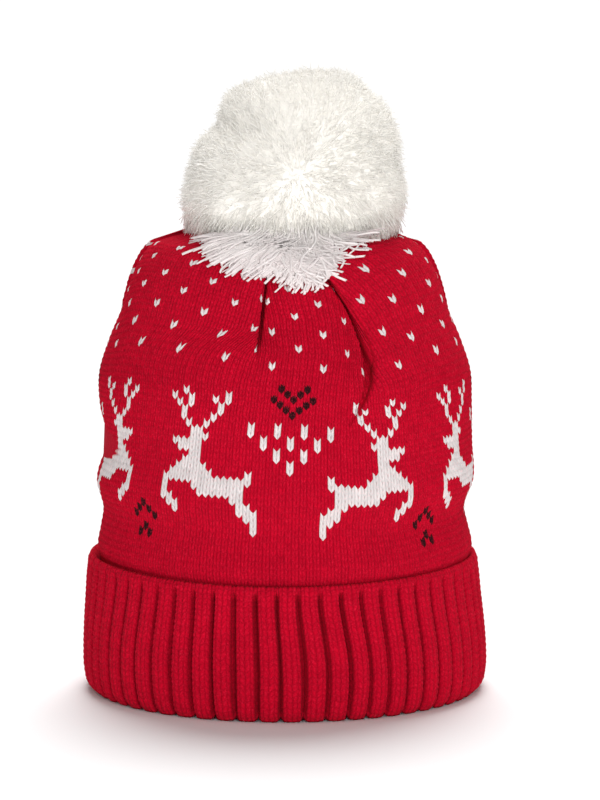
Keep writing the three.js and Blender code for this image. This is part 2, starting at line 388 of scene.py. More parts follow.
# %% Sew a flat grid into a ring of knitting
STITCH_COLUMNS, STITCH_LINES = 4, 2  # faces to a stitch, across and along
LEG_RELIEF = 0.32  # how far legs stand out and grooves lie back
LEG_HEIGHTS = np.array([-1.0, 1.0, -0.85, 1.0])  # across a stitch: groove, leg, mouth, leg
LEG_END_HEIGHT = 0.2  # where a leg dips under the next row


def ring_of_knitting(name, columns, lines, place, first=0):
    """A grid rolled up both ways into a closed ring. Its map counts stitches across and rows along."""
    builder = bmesh.new()
    count = Matrix.Diagonal((columns, lines, 1, 1)) @ Matrix.Translation((0.5, 0.5, 0))
    bmesh.ops.create_grid(builder, x_segments=columns, y_segments=lines, size=0.5, matrix=count)
    stitch_map = builder.loops.layers.uv.new("stitches")
    column_mark = builder.faces.layers.int.new("column")
    line_mark = builder.faces.layers.int.new("line")
    for face in builder.faces:
        middle = face.calc_center_median()
        face[column_mark], face[line_mark] = int(middle.x), int(middle.y)
        for loop in face.loops:
            column, line = round(loop.vert.co.x), round(loop.vert.co.y)
            loop[stitch_map].uv = (column - first) / STITCH_COLUMNS, line / STITCH_LINES
    column, line = np.rint([vertex.co[:2] for vertex in builder.verts]).astype(int).T
    for vertex, point in zip(builder.verts, place(column % columns, line % lines)):
        vertex.co = point
    edge = [vertex for vertex in builder.verts if vertex.is_boundary]
    bmesh.ops.remove_doubles(builder, verts=edge, dist=1e-7)
    bmesh.ops.recalc_face_normals(builder, faces=builder.faces)
    piece = add_built(name, builder)
    faces, edges = len(piece.data.polygons), len(piece.data.edges)
    print(name, "has", faces, "faces, edges less two per face:", edges - 2 * faces)
    return piece


def face_marks(mesh, name):
    values = np.zeros(len(mesh.polygons), int)
    mesh.attributes[name].data.foreach_get("value", values)
    return values


def leg_height(part, middle):
    """Relief of a stitch: high along the two legs, low between them."""
    leg = LEG_HEIGHTS[part.astype(int) % STITCH_COLUMNS]
    return LEG_RELIEF * np.where(middle, leg, np.where(leg > 0, LEG_END_HEIGHT, -1.0))


def zigzag(part):
    """How far a row of the grid bends at a column of a stitch, as a share of its swing."""
    return np.abs(part / STITCH_COLUMNS - 0.5) * 2 - 0.5


print("a stitch has", STITCH_COLUMNS * STITCH_LINES, "faces and", 2 * LEG_RELIEF, "mm of relief")

# %% [markdown]
# Knitting never hangs quite even. Rows stand closer above the deer, where the second yarn floats behind the
# dots, and the middle column drifts to the right. Beside the big pleat the rows sag. Four small tables hold
# this, so the pattern lies as it does in the photograph.

# %% Knit the crown
BOTTOM_ROW, TOP_ROW = 15, -43
ROWS = np.array([  # row, and its length up the crown's side in the middle of the front
    (-60, 204), (-43, 163.3), (-39, 153.9), (-36, 147.4), (-33, 141.1), (-30, 133.6), (-27, 126.1),
    (-24, 117.7), (-20, 107.4), (-15, 95.8), (-12, 87.2), (-6, 70.9), (4, 42.3), (15, 11.0),
])
ROW_SWING = 0.62  # depth of a stitch's V as a share of the row
WALL = 2.4
INNER_SECTIONS = [17, 15, 14, 13, 11, 9, 7, 5, 4, 2, 0]  # those that the wall's inner face keeps
DRIFT = np.array([  # row, and how far its middle stitch lies to the right, in degrees
    (-43, 0.5), (-39, 1.5), (-33, 3.6), (-27, 4.5), (-20, 3.0), (-12, 1.9), (6, 1.0),
])
SPREAD = np.array([(-18, 0.985), (6, 1.105)])  # row, width of the front's stitches
SPREAD_ANGLE = 60
DRAWN_IN = 2.4  # degrees that the panels beside the front are drawn in above the deer
DRAWN_WAVES, DRAWN_SPAN = 3, 120  # in waves round the hat, up to this angle
DRAWN_LEFT, DRAWN_RIGHT = (4, 12), (16, 26)  # angles where that begins on each side
DRAWN_ROWS = -26, -20  # rows between which it ends
SAG = np.array([  # angle, how much higher the rows lie than in the middle of the front
    (-180, 0), (-90, 1.5), (-60, 2.0), (-30, 1.2), (-20, 0.8), (-5, 0), (6, -0.5), (14, -2.0), (22, -3.8),
    (30, -4.2), (40, -4.0), (52, -2.6), (65, -2.2), (100, 0), (180, 0),
])


def row_length(row):
    return np.interp(row, *ROWS.T)


fine_lines = STITCH_LINES * (BOTTOM_ROW - TOP_ROW)
fine_rows = BOTTOM_ROW - np.arange(fine_lines + 1) / STITCH_LINES
over_top = np.linspace(row_length(TOP_ROW), CROWN_LENGTH[-1], 5)[1:]
back_down = CROWN_LENGTH[INNER_SECTIONS]
crown_lengths = np.concatenate([row_length(fine_rows), over_top, back_down, [row_length(BOTTOM_ROW) / 2]])
crown_inward = np.zeros(len(crown_lengths))
crown_inward[-1 - len(back_down):-1] = WALL


def place_crown(column, line):
    part = column % STITCH_COLUMNS
    fine = line <= fine_lines
    plain_row = np.interp(-crown_lengths[line], -ROWS[:, 1], ROWS[:, 0])
    row = np.where(fine, BOTTOM_ROW - line / STITCH_LINES, plain_row)
    angle = (column / STITCH_COLUMNS - 0.5) * 360 / WALES
    angle = (angle + 180) % 360 - 180
    bend = np.sin(np.radians(angle))
    facing = 0.5 + 0.5 * np.cos(np.radians(angle))
    angle = angle + (np.interp(row, *SPREAD.T) - 1) * SPREAD_ANGLE * bend + np.interp(row, *DRIFT.T) * facing
    drawn = np.where(np.abs(angle) < DRAWN_SPAN, DRAWN_IN * np.sin(np.radians(DRAWN_WAVES * angle)), 0)
    drawn = drawn * np.where(angle < 0, 0.7 * ease(*DRAWN_LEFT, -angle), ease(*DRAWN_RIGHT, angle))
    angle = angle - drawn * (1 - ease(*DRAWN_ROWS, row))
    sag = smooth_curve(*SAG.T, angle)
    first = PLEATS[-1].steady - 360
    angle = (angle - first) % 360 + first
    swing = ROW_SWING * (row_length(row - 0.5) - row_length(row + 0.5)) * zigzag(part)
    length = crown_lengths[line] + np.where(fine, swing + sag, 0)
    relief = np.where(fine, leg_height(part, line % STITCH_LINES == 1), 0)
    return crown_point(angle, length, relief, crown_inward[line])


crown_knit = ring_of_knitting("crown_knit", WALES * STITCH_COLUMNS, len(crown_lengths), place_crown)

# %% [markdown]
# The chart now colours the stitches. Each face knows its column and line in the grid, so it knows its
# stitch. The yarn colour goes into an attribute on the faces, and a second attribute gives every stitch a
# slightly different shade, as dyed yarn has.

# %% Colour the stitches
YARN_COLOURS = np.array([(0.50, 0.0016, 0.018, 1), (0.71, 0.665, 0.66, 1), (0.022, 0.006, 0.007, 1)])
NO_ROW = 99  # stands for every row outside the chart
SHADE_ROWS = 128


def paint_faces(piece, name, values, kind="FLOAT"):
    layer = piece.data.attributes.new(name, kind, "FACE")
    key = "color" if kind == "FLOAT_COLOR" else "value"
    layer.data.foreach_set(key, np.ascontiguousarray(values, dtype=np.float32).ravel())


columns, lines = face_marks(crown_knit.data, "column"), face_marks(crown_knit.data, "line")
wales, rows = columns // STITCH_COLUMNS, BOTTOM_ROW - lines // STITCH_LINES
rows = np.where(lines < fine_lines, rows, NO_ROW)
stitches = list(zip(wales.tolist(), rows.tolist()))
chart = {stitch: stitch_colour(*stitch) for stitch in set(stitches)}
yarn = np.array([chart[stitch] for stitch in stitches])
below = np.array([chart.get((wale, row + 1), RED) for wale, row in stitches])
mouth = (lines % STITCH_LINES == 0) & np.isin(columns % STITCH_COLUMNS, (1, 2)) & (below == BLACK)
yarn[mouth] = BLACK
paint_faces(crown_knit, "yarn_colour", YARN_COLOURS[yarn], "FLOAT_COLOR")
shades = np.random.default_rng(7).uniform(0, 1, (WALES, SHADE_ROWS))
paint_faces(crown_knit, "tone_and_painted_shade", shades[wales, rows % SHADE_ROWS])
print("white faces", int((yarn == WHITE).sum()), "black faces", int((yarn == BLACK).sum()))

# %% [markdown]
# The cuff is rib knitting: broad ridges of two stitches with a sunken stitch between them, which makes it
# springy. It is knitted on below the crown, folded at the rim and turned up outside. A real fold shows a
# rolled rim below, a soft edge above and ribs that wander a little. The same grid makes it: the section goes
# once round both layers, and a rib profile and the stitch relief push it in and out.

# %% The ribbed cuff
RIBS = 58
RIB_CENTRE = 1.6  # angle of the rib nearest the front
RIB_ROW, RIB_SWING = 2.7, 0.7  # height of a row, and depth of a stitch's V as a share of it
GROOVE, CLOSED_GROOVE = 4.4, 0.45  # its depth, and its share of the width where closed
GROOVE_WANDER, LEAN_WANDER = 0.06, 0.13
RIM_DIP, RIM_DIP_SPAN, RIM_DIP_FROM, RIM_HEIGHT = 2.5, 55, 0.7, 64  # the upper edge dips at the front
CUFF_SHIFT = 1  # the cuff's upper part stands a little to the left
CUFF_SHADE_ROWS = 64
CUFF_SECTION = np.array([  # radius and height, once round from the fold's outer edge
    (89.0, 0.2), (91.8, 3), (93.5, 10), (93.7, 18), (93.3, 27), (91.8, 45), (90.6, 58), (89.8, 62.4),
    (88.2, 64.2), (86.3, 62), (85.9, 40), (86.8, 15), (87.4, 8), (86.2, 15), (84.4, 40.6), (83.0, 41.4),
    (81.6, 40.6), (83.2, 20), (85.2, 4), (86.4, 0.2), (89.0, 0.2),
])
RIBBED_ROWS = 9  # rows of the section that carry the ribs
RIB_PROFILE = np.array([  # place across a rib, how far it sinks, and its part of a stitch
    (-0.5, 1, -1), (-0.45, 0.9, -1), (-0.408, 0.44, 0), (-0.345, 0.16, 1),
    (-0.235, 0.05, 2), (-0.115, 0.01, 3), (0, 0, 0), (0.115, 0.01, 1),
    (0.235, 0.05, 2), (0.345, 0.16, 3), (0.408, 0.44, 0), (0.45, 0.9, -1),
])
RIB_COLUMNS = len(RIB_PROFILE)
RIB_LEAN = np.array([  # angle, and how far the ribs there lean
    (-180, 0), (-120, -1), (-90, -2), (-65, -2.7), (-52, -2.7), (-40, -2.05), (-30, -1.25), (-21, -0.7),
    (-12, 0), (-5, 0.3), (3, 1.1), (12, 1.8), (20, 2.1), (28, 1.4), (40, 1.3), (60, 1.5), (90, 1),
    (120, 0.5), (180, 0),
])

cuff_length = length_along(CUFF_SECTION)
ribbed_length = cuff_length[RIBBED_ROWS - 1]
rib_lines = STITCH_LINES * int(ribbed_length / RIB_ROW)
cuff_lengths = np.concatenate([
    np.linspace(0, ribbed_length, rib_lines + 1),
    np.linspace(ribbed_length, cuff_length[-1], 22)[1:-1],
])
rib_wander = np.random.default_rng(3).normal(0, 1, (RIBS, 3))


def rib_share(length, height):
    """How far the grooves are open: closed at the turned-up edge, open below and under the fold."""
    return ease(-3, 4, length) * (1 - ease(56, 63, height))


def place_cuff(column, line):
    rib, part = np.divmod(column, RIB_COLUMNS)
    across, sink, stitch = RIB_PROFILE[part].T
    ribbed = line <= rib_lines
    on_leg = ribbed & (stitch >= 0)
    swing = np.where(on_leg, -RIB_SWING * RIB_ROW * zigzag(np.maximum(stitch, 0)), 0)
    swing = swing * np.sin(np.pi * np.clip(line / rib_lines, 0, 1)) ** 0.3
    length = np.clip(cuff_lengths[line] + swing, 0, cuff_length[-1])
    radius, height = (smooth_curve(cuff_length, values, length) for values in CUFF_SECTION.T)
    ahead = np.minimum(length + 0.4, cuff_length[-1])
    behind = np.maximum(length - 0.4, 0)
    along_radius, along_height = (change(cuff_length, values, behind, ahead) for values in CUFF_SECTION.T)
    run = np.maximum(np.hypot(along_radius, along_height), 1e-6)
    out, up = along_height / run, -along_radius / run
    relief = np.where(on_leg, leg_height(np.maximum(stitch, 0), line % STITCH_LINES == 1), 0)
    share = rib_share(length, height)
    sunk = GROOVE * sink * share * (1 + GROOVE_WANDER * rib_wander[rib, 0])
    wide = 0.5 - (0.5 - np.abs(across)) * (CLOSED_GROOVE + (1 - CLOSED_GROOVE) * share)
    across = np.where(stitch < 0, np.sign(across) * wide, across)
    push = np.where(ribbed, relief * ease(0, 6, height) - sunk, 0)
    angle = RIB_CENTRE + (rib + across) * 360 / RIBS
    side = (angle + 180) % 360 - 180
    fall = (1 - ease(24, 58, height)) * (0.7 + 0.3 * ease(2, 22, height))
    wander = LEAN_WANDER * rib_wander[rib, 1] * np.sin(height / RIM_HEIGHT * np.pi)
    lean = np.interp(side, *RIB_LEAN.T) * fall + wander
    near_rim = np.clip(height / RIM_HEIGHT - RIM_DIP_FROM, 0, 1) / (1 - RIM_DIP_FROM)
    dip = RIM_DIP * np.exp(-((side / RIM_DIP_SPAN) ** 2)) * near_rim
    reach = radius + push * out
    places = round_hat(angle + lean, reach, reach, np.maximum(height + push * up - dip, 0))
    places[:, 0] -= CUFF_SHIFT * ease(10, 60, height)
    return places * MM


first_leg = int(np.argmax(RIB_PROFILE[:, 2] >= 0))
cuff_rib = ring_of_knitting("cuff_rib", RIBS * RIB_COLUMNS, len(cuff_lengths), place_cuff, first_leg)

# Every stitch gets its shade of yarn, and every face a mark of how deep in a groove it lies, which the
# material turns into painted shade.
column, line = face_marks(cuff_rib.data, "column"), face_marks(cuff_rib.data, "line")
shades = np.random.default_rng(8).uniform(0, 1, (RIBS * RIB_COLUMNS // STITCH_COLUMNS, CUFF_SHADE_ROWS))
paint_faces(cuff_rib, "tone_and_painted_shade", shades[column // STITCH_COLUMNS, line // STITCH_LINES])
sink = RIB_PROFILE[:, 1]
sink = (sink + np.roll(sink, -1))[column % RIB_COLUMNS] / 2
length = np.append(cuff_lengths, cuff_length[-1])
middle = (length[line] + length[line + 1]) / 2
height = smooth_curve(cuff_length, CUFF_SECTION[:, 1], middle)
paint_faces(cuff_rib, "groove_shade", np.where(line < rib_lines, sink * rib_share(middle, height), 0))

# %% [markdown]
# A pompom is hundreds of turns of yarn, tied round the middle, cut at both ends and trimmed to a ball. Only
# the cut ends show. A soft core keeps the eye from looking through, and thousands of thin strands run out
# of it to the trimmed surface. That surface comes first. It bulges in soft tufts, with the yarn parted a
# little between them.

# %% The form of the pompom
POMPOM_CENTRE = np.array([3.5, 0, 230])
POMPOM_SECTIONS = np.array([  # height, radius and sideways place, from the top down
    (287.8, 0, 17), (286.8, 7.5, 16.5), (284.6, 15.5, 15.5), (281.6, 25.5, 9), (277.8, 30.7, 7.6),
    (272.5, 35.8, 8.5), (263.5, 40.3, 9.5), (252.5, 46.5, 6), (243, 49, 5), (228, 51, 4), (213.5, 48.5, 3.5),
])
TUFTS, TUFT_FOCUS = 70, 45  # a higher focus gives narrower tufts
TUFT_HEIGHT, TUFT_GAP = 2.6, 1.6  # how far tufts rise and gaps lie back
CORE_SHARE = 0.988  # the core's size as a share of the ball's
CORE_STRETCH, CORE_CLOSES, CORE_NARROWS = 1.35, 0.74, 0.9  # below the ball's edge the core is drawn in
pompom_length = length_along(POMPOM_SECTIONS[:, :2])
tuft_random = np.random.default_rng(10)
tuft_way = unit(tuft_random.normal(0, 1, (TUFTS, 3)))
tuft_rise = tuft_random.uniform(0.3, 1.0, TUFTS)


def pompom_point(angle, length):
    """Places on the trimmed ball, in millimetres."""
    height, radius, middle = (smooth_curve(pompom_length, values, length) for values in POMPOM_SECTIONS.T)
    radius = np.maximum(radius, 0)
    places = round_hat(angle, radius, radius, height)
    places[:, 0] += middle
    return places


def tufted(points):
    """The same places with the ball's soft tufts."""
    way = unit(points - POMPOM_CENTRE)
    near = np.exp((way @ tuft_way.T - 1) * TUFT_FOCUS) * tuft_rise
    rise = TUFT_HEIGHT * near.max(axis=1) - TUFT_GAP
    return points + way * rise[:, None]


builder = bmesh.new()
bmesh.ops.create_uvsphere(builder, u_segments=128, v_segments=72, radius=1)
way = np.array([vertex.co.normalized() for vertex in builder.verts])
angle = np.degrees(np.arctan2(way[:, 0], -way[:, 1]))
share = np.arccos(np.clip(way[:, 2], -1, 1)) / np.pi
points = tufted(pompom_point(angle, np.minimum(share * CORE_STRETCH, 1) * pompom_length[-1]))
points = POMPOM_CENTRE + (points - POMPOM_CENTRE) * CORE_SHARE
low = 1 - CORE_NARROWS * np.maximum(share - CORE_CLOSES, 0) / (1 - CORE_CLOSES)
points[:, :2] = POMPOM_CENTRE[:2] + (points[:, :2] - POMPOM_CENTRE[:2]) * low[:, None]
for vertex, point in zip(builder.verts, points):
    vertex.co = point * MM
bmesh.ops.recalc_face_normals(builder, faces=builder.faces)
core = add_built("pompom_core", builder)
print("pompom core has", len(core.data.polygons), "faces")

# %% [markdown]
# Strands are many and alike, so arrays make them: every strand is a path of a few points, a small ring is
# set at each point, and the rings are joined to tubes. All strands of one kind become one mesh.

# %% Strands from arrays
THIN_SIDES, THICK_SIDES = 3, 6


def strands(name, paths, radii, sides, shades):
    """Tubes along many paths of the same number of points, as one mesh with closed ends."""
    count, steps, _ = paths.shape
    way = unit(paths[:, -1] - paths[:, 0])
    helper = np.where(np.abs(way[:, 2:]) > 0.8, [[1.0, 0, 0]], [[0, 0, 1.0]])
    first = unit(np.cross(way, helper))
    second = np.cross(way, first)
    turn = (np.arange(sides) * 2 * np.pi / sides)[:, None]
    ring = first[:, None] * np.cos(turn) + second[:, None] * np.sin(turn)
    points = paths[:, :, None] + ring[:, None] * radii[:, :, None, None]
    points = points.reshape(-1, 3) * MM
    base = (np.arange(count) * steps * sides)[:, None, None]
    low = base + np.arange(steps - 1)[:, None] * sides
    here, after = np.arange(sides), (np.arange(sides) + 1) % sides
    corners = low + here, low + after, low + sides + after, low + sides + here
    quads = np.stack(corners, axis=-1).reshape(-1, 4)
    caps = base + np.array([[0], [(steps - 1) * sides]]) + here
    caps[:, 0] = caps[:, 0, ::-1]
    mesh = bpy.data.meshes.new(name)
    mesh.from_pydata(points, [], quads.tolist() + caps.reshape(-1, sides).tolist())
    # Every point's shade: a random tone of yarn, or along the long strands painted light at the root and
    # painted shade towards the tip.
    layer = mesh.attributes.new("tone_and_painted_shade", "FLOAT", "POINT")
    shades = np.repeat(np.broadcast_to(shades, radii.shape), sides)
    layer.data.foreach_set("value", shades.astype(np.float32))
    mesh.shade_smooth()
    print(name, "has", count, "strands and", len(mesh.polygons), "faces")
    return add_object(name, mesh)


print("a thin strand of three points has", 2 * THIN_SIDES + 2, "faces")

# %% [markdown]
# The ball's own strands end at the trimmed surface. They lean away from a parting at the front and lie over
# each other like fur. Below the parting they hang down over the roots of the long strands. A second layer of
# single fibres blurs the edge.

# %% The trimmed ball of yarn
BALL_STRANDS, FLUFF_FIBRES = 14000, 12000
BALL_RADIUS, FLUFF_RADIUS = 0.22, 0.1
PARTING = np.array([6, -49, 243])  # from here the strands sweep away
STRAND_RISE = np.array([-1.2, 0.5, 1.0])[:, None]  # root, middle and tip, along a strand's rise
STRAND_LEAN = np.array([-0.2, 0.4, 1.0])[:, None]  # and along its lean
SKIRT_HEIGHTS, SKIRT_FALL = (214, 227), 5.5  # the lowest strands hang down
FRONT_DEPTHS, FRONT_HEIGHTS = (12, 34), (219, 230)  # those at the front, over the long strands,
FRONT_FALL, FRONT_BOW = 6, 1.3  # hang further and bow out
LOWEST, FRONT_LOWER = 211.5, 7  # limit of how low they hang, and how much lower at the front


def over_ball(count, chance):
    """Places spread evenly over the ball."""
    probe = np.linspace(0, pompom_length[-1], 400)
    weight = np.maximum(smooth_curve(pompom_length, POMPOM_SECTIONS[:, 1], probe), 0.5)
    total = np.cumsum(weight)
    length = np.interp(chance.uniform(0, total[-1], count), total, probe)
    return tufted(pompom_point(chance.uniform(-180, 180, count), length))


def ball_paths(count, chance, rise, sweep, curl):
    """Paths of strands that come up through the ball's surface and lie over it, away from the parting."""
    roots = over_ball(count, chance)
    out = unit(roots - POMPOM_CENTRE)
    away = roots - PARTING
    away = away - out * (away * out).sum(axis=1, keepdims=True)
    away /= np.maximum(np.linalg.norm(away, axis=1, keepdims=True), 6)
    side = away * sweep * chance.uniform(0.4, 1.2, (count, 1)) + chance.normal(0, curl, (count, 3))
    front = ease(*FRONT_DEPTHS, -roots[:, 1]) * (1 - ease(*FRONT_HEIGHTS, roots[:, 2]))
    front = front * chance.uniform(0, 1, count)
    side[:, 2] -= SKIRT_FALL * (1 - ease(*SKIRT_HEIGHTS, roots[:, 2])) + FRONT_FALL * front
    side[:, :2] += out[:, :2] * (FRONT_BOW * front)[:, None]
    tall = chance.normal(*rise, (count, 1))
    up = np.where(STRAND_RISE < 0, STRAND_RISE, STRAND_RISE * tall[:, None])
    paths = roots[:, None] + out[:, None] * up + side[:, None] * STRAND_LEAN
    paths[:, :, 2] = np.maximum(paths[:, :, 2], (LOWEST - FRONT_LOWER * front)[:, None])
    return paths


ball_random = np.random.default_rng(11)
ball_radii = BALL_RADIUS * np.array([1.0, 0.95, 0.6]) * ball_random.uniform(0.8, 1.2, (BALL_STRANDS, 1))
pompom_yarn = strands(
    "pompom_yarn", ball_paths(BALL_STRANDS, ball_random, rise=(0.15, 0.2), sweep=3.6, curl=1.3),
    ball_radii, THIN_SIDES, ball_random.uniform(0, 1, (BALL_STRANDS, 1)),
)
fluff_random = np.random.default_rng(12)
fluff_radii = FLUFF_RADIUS * np.array([1.0, 0.95, 0.5]) * np.ones((FLUFF_FIBRES, 1))
pompom_fluff = strands(
    "pompom_fluff", ball_paths(FLUFF_FIBRES, fluff_random, rise=(0.55, 0.35), sweep=2.4, curl=1.3),
    fluff_radii, THIN_SIDES, fluff_random.uniform(0, 1, (FLUFF_FIBRES, 1)),
)

# %% [markdown]
# At the front, under the ball, longer strands were left uncut. They start under the ball's edge, bow out over
# the gather and hang down on the crown, thick and a little curled. On the left they lie close together. On
# the right they are loose, and the red shows between them. A dense fringe of finer strands lies under them.

# %% The fan of long strands
FAN_STRANDS, FRINGE_STRANDS = 360, 2300
FAN_STEPS, FRINGE_STEPS = 12, 6
FAN_EDGE = np.array([  # angle round the hat and height of the fan's lower edge
    (-45, 212), (-38, 206), (-31, 202.2), (-25, 199.6), (-16.5, 196.8), (-5.5, 195.5), (4.5, 192),
    (12.5, 191), (15.5, 192.2), (22, 202), (46, 210.5),
])
FAN_ROOTS, FAN_TOP = 213, 212  # height of the lowest roots, and of the shortest strands' ends
DENSE, DENSE_LEFT, DENSE_RIGHT = (-10, 17), -44, (9, 18)  # angles of the dense ones, and limits
LOOSE = 16, 46  # angles of the loose strands
FAN_WAVE = np.array([(-44, 0.8), (-20, 2.4), (14, 2.4), (18, 3.4)])  # angle, how far the strands wave
FRINGE_RADIUS = 0.3
fan_random = np.random.default_rng(21)


def crown_skin(angle, height, off):
    """A place just off the crown's upper side."""
    probe = np.linspace(0, CROWN_LENGTH[-3], 1500)
    levels = crown_side(probe)[1]
    half, level, depth, out, up = crown_side(np.interp(height, levels, probe))
    return round_hat(angle, half + off * out, half * depth + off * out, level + off * up)


def fan_paths(count, chance, point_count, loose, shorter, off):
    """Paths from the ball down over the gather, ending above the fan's edge and a little off the crown."""
    dense = np.minimum(chance.normal(*DENSE, count), chance.uniform(*DENSE_RIGHT, count))
    sparse = chance.uniform(*LOOSE, count)
    angle = np.where(chance.uniform(0, 1, count) < loose, sparse, np.maximum(dense, DENSE_LEFT))
    edge = np.interp(angle, *FAN_EDGE.T)
    height = np.minimum(edge + shorter + np.abs(chance.normal(0, 4.0, count)), FAN_TOP)
    tips = crown_skin(angle, height, chance.uniform(*off, count))
    start = angle * np.where(angle < -12, 0.78, 0.55) + chance.normal(2, 5, count)
    level = FAN_ROOTS + np.abs(chance.normal(0, 3, count))
    wide = np.interp(level, *POMPOM_SECTIONS[::-1, :2].T) - 2
    roots = round_hat(start, wide, wide, level) + [POMPOM_CENTRE[0], 0, 0]
    away = round_hat(start, 1, 1, np.zeros(count))
    drop = chance.uniform(-4, 0, count) - 0.9 * (level - FAN_ROOTS)
    reach = (6 - 0.05 * np.abs(angle)) * (1 - 0.6 * ease(FAN_ROOTS, FAN_ROOTS + 9, level))
    over = roots + away * reach[:, None] + drop[:, None] * [0, 0, 1]
    lower = tips + (roots - tips) * 0.3 + away * 4 + [0, 0, 1.5]
    t = np.linspace(0, 1, point_count)[None, :, None]
    paths = (1 - t) ** 3 * roots[:, None] + 3 * t * (1 - t) ** 2 * over[:, None]
    paths = paths + 3 * t**2 * (1 - t) * lower[:, None] + t**3 * tips[:, None]
    wave = np.sin(t[..., 0] * chance.uniform(5, 11, (count, 1)) + chance.uniform(0, 6, (count, 1)))
    wave = wave * t[..., 0] * chance.normal(0, 1, (count, 1)) * np.interp(angle, *FAN_WAVE.T)[:, None]
    curl = np.maximum(t[..., 0] - 0.6, 0) ** 2 * chance.normal(6, 26, (count, 1))
    return paths + (wave + curl)[..., None] * [1, 0.1, 0.3]


fan_radii = np.interp(np.arange(FAN_STEPS), (0, 3, FAN_STEPS - 1), (0.2, 0.55, 0.55))
fan_radii = fan_radii * fan_random.uniform(0.8, 1.2, (FAN_STRANDS, 1))
# The long strands are painted light at the root, against the ball's shadow, and painted shade towards the
# tip, for the shade between strands.
fan_painted_shades = np.linspace(1.2, 0, FAN_STEPS)[None] + fan_random.uniform(-0.2, 0.4, (FAN_STRANDS, 1))
pompom_fan = strands(
    "pompom_fan", fan_paths(FAN_STRANDS, fan_random, FAN_STEPS, loose=0.16, shorter=0, off=(0.8, 3.0)),
    fan_radii, THICK_SIDES, fan_painted_shades,
)
fringe_radii = np.full((FRINGE_STRANDS, FRINGE_STEPS), FRINGE_RADIUS)
# The fringe gets the same painted light at the root and painted shade towards the tip.
fringe_painted_shades = np.linspace(1.3, 0.3, FRINGE_STEPS)[None] + fan_random.uniform(-0.2, 0.2, (FRINGE_STRANDS, 1))
pompom_fringe = strands(
    "pompom_fringe",
    fan_paths(FRINGE_STRANDS, fan_random, FRINGE_STEPS, loose=0.02, shorter=5.5, off=(0.3, 1.6)),
    fringe_radii, THIN_SIDES, fringe_painted_shades,
)

# %% [markdown]
# All the yarn is spun acrylic: matt, a little fuzzy, paler where the light grazes its fibres. Two node groups
# are shared. The fibre group gives every yarn a fine height for the bump and a mottled tone that shifts its
# colour a little. The stitch group draws the legs of each stitch from the stitch map, and the hole between.

# %% Node helpers and two shared effects
def feed(socket, value):
    """Give a socket a plain value, or a link from another socket."""
    if isinstance(value, bpy.types.NodeSocket):
        socket.id_data.links.new(value, socket)
    else:
        socket.default_value = value


def add_node(tree, kind, inputs=(), **settings):
    """A node with these settings, its inputs fed by name."""
    node = tree.nodes.new(kind)
    for name, value in settings.items():
        setattr(node, name, value)
    for name, value in dict(inputs).items():
        feed(next(socket for socket in node.inputs if socket.name == name and socket.enabled), value)
    return node


def calculate(tree, operation, *values):
    node = add_node(tree, "ShaderNodeMath", operation=operation)
    for socket, value in zip(node.inputs, values):
        feed(socket, value)
    return node.outputs[0]


def new_group(name, inputs, outputs):
    tree = bpy.data.node_groups.new(name, "ShaderNodeTree")
    for way, sockets in (("INPUT", inputs), ("OUTPUT", outputs)):
        for socket in sockets:
            tree.interface.new_socket(socket, in_out=way, socket_type="NodeSocketFloat")
    return tree


def fibre_group():
    """A fine fibre height, and a mottled tone that takes in each stitch's own shade of yarn, or a long
    strand's painted shade.
    """
    tree = new_group("yarn_fibre", ["Scale", "Shade"], ["Height", "Tone"])
    given = add_node(tree, "NodeGroupInput").outputs
    place = add_node(tree, "ShaderNodeTexCoord").outputs["Object"]
    fibre = add_node(tree, "ShaderNodeTexNoise", {"Vector": place, "Scale": given["Scale"], "Detail": 3})
    mottle = add_node(tree, "ShaderNodeTexNoise", {"Vector": place, "Scale": 55, "Detail": 2})
    tone = {"Factor": 0.6, "A": mottle.outputs["Fac"], "B": given["Shade"]}
    tone = add_node(tree, "ShaderNodeMix", tone).outputs["Result"]
    add_node(tree, "NodeGroupOutput", {"Height": fibre.outputs["Fac"], "Tone": tone})
    return tree


def stitch_group():
    """Two rounded legs to a stitch from the stitch map, and the small hole between them."""
    tree = new_group("knit_stitch", [], ["Height", "Hole"])
    calc = partial(calculate, tree)
    where = add_node(tree, "ShaderNodeUVMap", uv_map="stitches").outputs["UV"]
    wander = add_node(tree, "ShaderNodeTexNoise", {"Vector": where, "Scale": 0.8, "Detail": 2})
    split = add_node(tree, "ShaderNodeSeparateXYZ", {"Vector": where}).outputs
    shift = add_node(tree, "ShaderNodeSeparateXYZ", {"Vector": wander.outputs["Color"]}).outputs

    def wandering(axis, reach):
        return calc("SUBTRACT", calc("MULTIPLY_ADD", shift[axis], reach, split[axis]), reach / 2)

    def ridges(value, turn, power):
        """Rounded ridges side by side. A lower power makes them fuller."""
        return calc("POWER", calc("ABSOLUTE", calc("SINE", calc("MULTIPLY", value, turn))), power)

    across, along = wandering("X", 0.3), wandering("Y", 0.5)
    leg, column = ridges(across, 2 * math.pi, 0.6), ridges(across, math.pi, 0.9)
    leg = calc("MULTIPLY_ADD", leg, 0.8, calc("MULTIPLY", column, 0.2))
    row = calc("MULTIPLY_ADD", ridges(along, math.pi, 0.5), 0.6, 0.4)
    beside = calc("MULTIPLY", calc("SUBTRACT", calc("FRACT", across), 0.5), 6)
    above = calc("MULTIPLY", calc("SUBTRACT", calc("FRACT", along), 0.75), 3)
    far = calc("ADD", calc("MULTIPLY", beside, beside), calc("MULTIPLY", above, above))
    hole = calc("MAXIMUM", calc("SUBTRACT", 1, far), 0)
    add_node(tree, "NodeGroupOutput", {"Height": calc("MULTIPLY", leg, row), "Hole": hole})
    return tree


FIBRE, STITCH = fibre_group(), stitch_group()
print("shared effects:", FIBRE.name, "and", STITCH.name)
